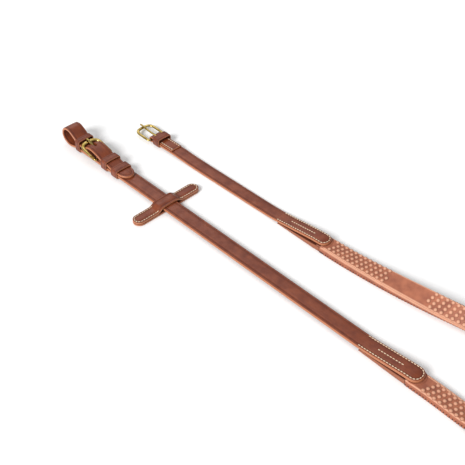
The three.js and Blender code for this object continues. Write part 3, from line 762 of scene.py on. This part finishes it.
# Painted light on the cover: the ridges and top edges get rim, a painted highlight, and the lower sides get
# crease, painted shade between the ribs.
for v in cover.verts:
    if v.co.z > 1.9 and min(abs(v.co.y - centre) for centre in RIDGES) < 0.1:
        v.co.z += 0.4
        v[rim] = 1.0
    elif v.co.z > 1.9 and v.co.y > 6.5:
        v[rim] = 0.5
    elif v.co.z > 2.4 and v.co.y < -8.8:
        v[rim] = 0.7
    elif abs(v.co.y) > 9 and v.co.z < -0.95:
        v[painted_hollow_shade] = 0.9
cut(cover, [(0, u) for u in grip_path.cuts(stride=4, turn=4)])
bend(cover, grip_path)
hand_over(cover, "grip_cover_rubber", "rein", "rubber", ["grip_cover"])

strip = swept([(-8.2, -3.25), (8.2, -3.25), (8.2, -1.75), (-8.2, -1.75)], lambda p: p.z < -3, 0.3)
cut(strip, [(1, a) for a in (-5, -2.5, 0, 2.5, 5)])
cut(strip, [(0, u) for u in grip_path.cuts(stride=5, turn=5)])
bend(strip, grip_path)
hand_over(strip, "grip_underside_rubber", "rein", "rubber", ["grip_underside"])
frame["nodes"]["grip_core"].data.materials.clear()
frame["nodes"]["grip_core"].data.materials.append(FINISH["web"])

# %% [markdown]
# ## Pimples and ribs
# The cover's hold comes from four staggered rows of rubber pimples. There are hundreds of them, so each is a
# low sphere of a few dozen faces, sunk into the cover. A plain panel interrupts them near the hand end. The
# long sides of the cover are pressed into small ribs.


# %% Repeated shapes
def studs(marks, size, grain_like=False, cubes=False):
    """One mesh of many small solids. A mark is a middle, an along and a facing direction, and the size is
    half the length along, across and facing. Small lots are made one by one, because a mesh gets slow."""
    every = bmesh.new()
    every.verts.layers.float.new("rim")
    every.verts.layers.float.new("crease")
    for first in range(0, len(marks), 40):
        lot = bmesh.new()
        lit = lot.verts.layers.float.new("rim")
        dark = lot.verts.layers.float.new("crease")
        for middle, along, facing in marks[first:first + 40]:
            across = facing.cross(along)
            axes = (across * size[1], along * size[0], -facing * size[2])
            if grain_like:
                axes = (across * size[1], facing * size[2], along * size[0])
            turn = Matrix.Translation(middle) @ Matrix(axes).transposed().to_4x4()
            if cubes:
                bmesh.ops.create_cube(lot, size=2, matrix=turn)
                continue
            rings = (8, 5) if grain_like else (10, 6)
            made = bmesh.ops.create_uvsphere(lot, u_segments=rings[0], v_segments=rings[1], radius=1,
                                             matrix=turn)
            # Painted light for the rubber: each sphere's top gets the rim attribute, a painted highlight, and
            # its base the crease attribute, painted shade.
            for v in made["verts"]:
                rise = (v.co - middle).dot(facing) / size[2]
                v[lit] = min(max(rise, 0.3), 1) * 0.8
                v[dark] = 0.8 if rise < 0.2 else 0.0
        if cubes:
            bmesh.ops.bevel(lot, geom=lot.edges[:], offset=0.18, offset_type="OFFSET", segments=1,
                            profile=0.5, affect="EDGES", material=-1)
        part = bpy.data.meshes.new("lot")
        lot.to_mesh(part)
        lot.free()
        every.from_mesh(part)
        bpy.data.meshes.remove(part)
    return every


# %% Grip pimples
ROWS = 4
ROW_GAP = 4.3
ROW_SHIFT = 1.9
PITCH = 5.7
PANEL = (grip_path.length - 119, grip_path.length - 75)
marks = []
for row in range(ROWS):
    across_place = -7.9 + ROW_GAP * row
    u = 17 + ROW_SHIFT * row % PITCH
    while u < grip_path.length - 7.5:
        if not PANEL[0] < u < PANEL[1]:
            middle, along, across, normal, _ = grip_path.at(u)
            marks.append((middle + across * across_place + normal * (GRIP_UP - 0.05), along, normal))
        u += PITCH
hand_over(studs(marks, (2.0, 2.0, 1.2)), "grip_pimples", "rein", "rubber", smooth=70)
print(len(marks), "pimples")

# %% Side ribs
RIB_PITCH = 3.05
marks = []
for side in (-1, 1):
    for k in range(int((grip_path.length - 4) / RIB_PITCH)):
        middle, along, across, normal, _ = grip_path.at(2.5 + k * RIB_PITCH)
        marks.append((middle + across * side * (GRIP_HALF + 0.05) + normal * -2.1, along, across * side))
hand_over(studs(marks, (0.95, 1.1, 0.4), cubes=True), "grip_side_ribs", "rein", "rubber")


# %% Lips round the lap tips
def lip(name, u_tip, way, half):
    """A thin raised lip of rubber that follows a lap's tip, from the grip's end round to its other edge."""
    turns = [math.pi * k / 24 for k in range(25)]
    places = [(u_tip - way * 10, -half)]
    places += [(u_tip - way * 8 * (1 - math.sin(a)), -half * math.cos(a)) for a in turns]
    places += [(u_tip - way * 10, half)]
    points = []
    for u, v in places:
        middle, _, across, normal, _ = grip_path.at(u)
        points.append(middle + across * v + normal * GRIP_UP)
    steps = [(b - a).normalized() for a, b in zip(points, points[1:])]
    acrosses = [Vector((0, 0, 1)).cross(n) for n in [*steps, steps[-1]]]
    bar(Path(points, acrosses, [Vector((0.55, 0.6))] * len(points)), name, "rein", slot="rubber")


lip("bit_lap_lip", 12.6, 1, 9.1)
lip("hand_lap_lip", grip_path.length - 6, -1, 8.9)

# %% [markdown]
# ## Stitching
# Every seam is saddle stitched with cream thread. One stitch is a small round-ended grain of thread, and the
# rows follow the same paths as the leathers, a fixed distance in from their edges.


# %% Stitch rows
def lap_row(path, start, reach, half, pitch=3.0, end=None):
    """Marks along both edges of a strap and round its tip, half a width from the middle. The tip is at u = 0,
    or at u = end if one is given."""
    corner = [(reach - (reach - 1.7) * math.sin(a), half * math.cos(a))
              for a in (math.pi * k / 40 for k in range(41))]
    line = [Vector(p) for p in ((start, half), *corner, (start, -half))]
    gaps = [(b - a).length for a, b in zip(line, line[1:])]
    total = sum(gaps)
    count = round(total / pitch)
    marks = []
    for k in range(count):
        rest = total * (k + 0.5) / count
        for a, b, gap in zip(line, line[1:], gaps):
            if rest <= gap:
                spot = a.lerp(b, rest / gap)
                step = (b - a).normalized()
                break
            rest -= gap
        u = end - spot.x if end else spot.x
        middle, along, across, normal, size = path.at(u)
        run = (along * (-step.x if end else step.x) + across * step.y).normalized()
        marks.append((middle + across * spot.y * size.x + normal * (size.y / 2 + 0.12), run, normal))
    return marks


def straight_row(path, start, stop, v, pitch=3.0, folded_over=False):
    """Marks along a path at one distance from its middle. Folded leather shows its other face."""
    count = round((stop - start) / pitch)
    marks = []
    for k in range(count):
        middle, along, across, normal, size = path.at(start + (stop - start) * (k + 0.5) / count)
        if folded_over:
            normal = -normal
        marks.append((middle + across * v * size.x + normal * (size.y / 2 + 0.15), along, normal))
    return marks


STITCH = (1.25, 0.5, 0.36)
bit_rows = lap_row(bit_path, 64, 8, 7.2) + straight_row(bit_path, 20, 48, 0)
hand_rows = lap_row(hand_path, 64, 7, 6.3) + straight_row(hand_path, 18, 50, 0)
arch_rows = lap_row(arch_path, 29, 7, 5.1) + lap_row(arch_path, 29, 7, 5.1, end=arch_path.length)
for y in (-5.6, 5.6):
    hand_rows += straight_row(hand_path, fold + 10, hand_path.length - 0.6, y, folded_over=True)
hand_over(studs(bit_rows, STITCH, grain_like=True), "bit_lap_stitching", "rein", "thread", smooth=70)
hand_over(studs(hand_rows, STITCH, grain_like=True), "hand_strap_stitching", "rein", "thread", smooth=70)
hand_over(studs(arch_rows, STITCH, grain_like=True), "stop_stitching", "stop", "thread", smooth=70)
print(len(bit_rows) + len(hand_rows) + len(arch_rows), "stitches")

# %% [markdown]
# ## The picture
# A pale seamless table, a wide soft light from the viewer's side and a weaker one from behind. The room is
# bright to the eye but dim as a light, so that the leather keeps its depth.

# %% Table, light and camera
CAMERA = Vector((718.8, -442.0, 594.0))
BACK = Vector((0.5353, -0.5188, 0.6665))
table = outline(6000, 6000)
table_mesh = bpy.data.meshes.new("table")
bmesh.ops.translate(table, vec=(-3000, 0, 0), verts=table.verts)
bmesh.ops.scale(table, vec=(MM, MM, MM), verts=table.verts)
table.to_mesh(table_mesh)
table.free()
floor = bpy.data.objects.new("table", table_mesh)
bpy.context.scene.collection.objects.link(floor)
paper, _, _, _ = new_material("pale_table", rgb("#ffffff"), 0.9)
paper.node_tree.nodes["Principled BSDF"].inputs["Base Color"].default_value = (0.93, 0.93, 0.93, 1)
paper.node_tree.nodes["Principled BSDF"].inputs["Specular IOR Level"].default_value = 0.1
table_mesh.materials.append(paper)

world = bpy.data.worlds.new("studio")
world.use_nodes = True
sky = world.node_tree
sky.nodes["Background"].inputs["Color"].default_value = (1, 1, 1, 1)
seen = wire(sky, "ShaderNodeLightPath").outputs["Is Camera Ray"]
sky.links.new(span(sky, seen, 0, 1, 0.5, 1.0), sky.nodes["Background"].inputs["Strength"])
bpy.context.scene.world = world


def soft_light(name, place, strength, spread):
    """A distant light from a place towards the middle of the rein. spread is its width in degrees."""
    data = bpy.data.lights.new(name, "SUN")
    data.energy = strength
    data.angle = math.radians(spread)
    light = bpy.data.objects.new(name, data)
    light.location = place
    light.rotation_euler = (-Vector(place)).to_track_quat("-Z", "Y").to_euler()
    bpy.context.scene.collection.objects.link(light)


soft_light("key", (0.1, -1.7, 1.25), 3.1, 24)
soft_light("fill", (-1.4, 0.6, 1.6), 0.5, 40)
camera_data = bpy.data.cameras.new("camera")
camera_data.lens = 69.3
camera_data.sensor_width = 36
camera = bpy.data.objects.new("camera", camera_data)
camera.location = ORIGIN + CAMERA * MM
camera.rotation_euler = (-BACK).to_track_quat("-Z", "Y").to_euler()
bpy.context.scene.collection.objects.link(camera)
bpy.context.scene.camera = camera
bpy.context.scene.view_settings.view_transform = "Standard"
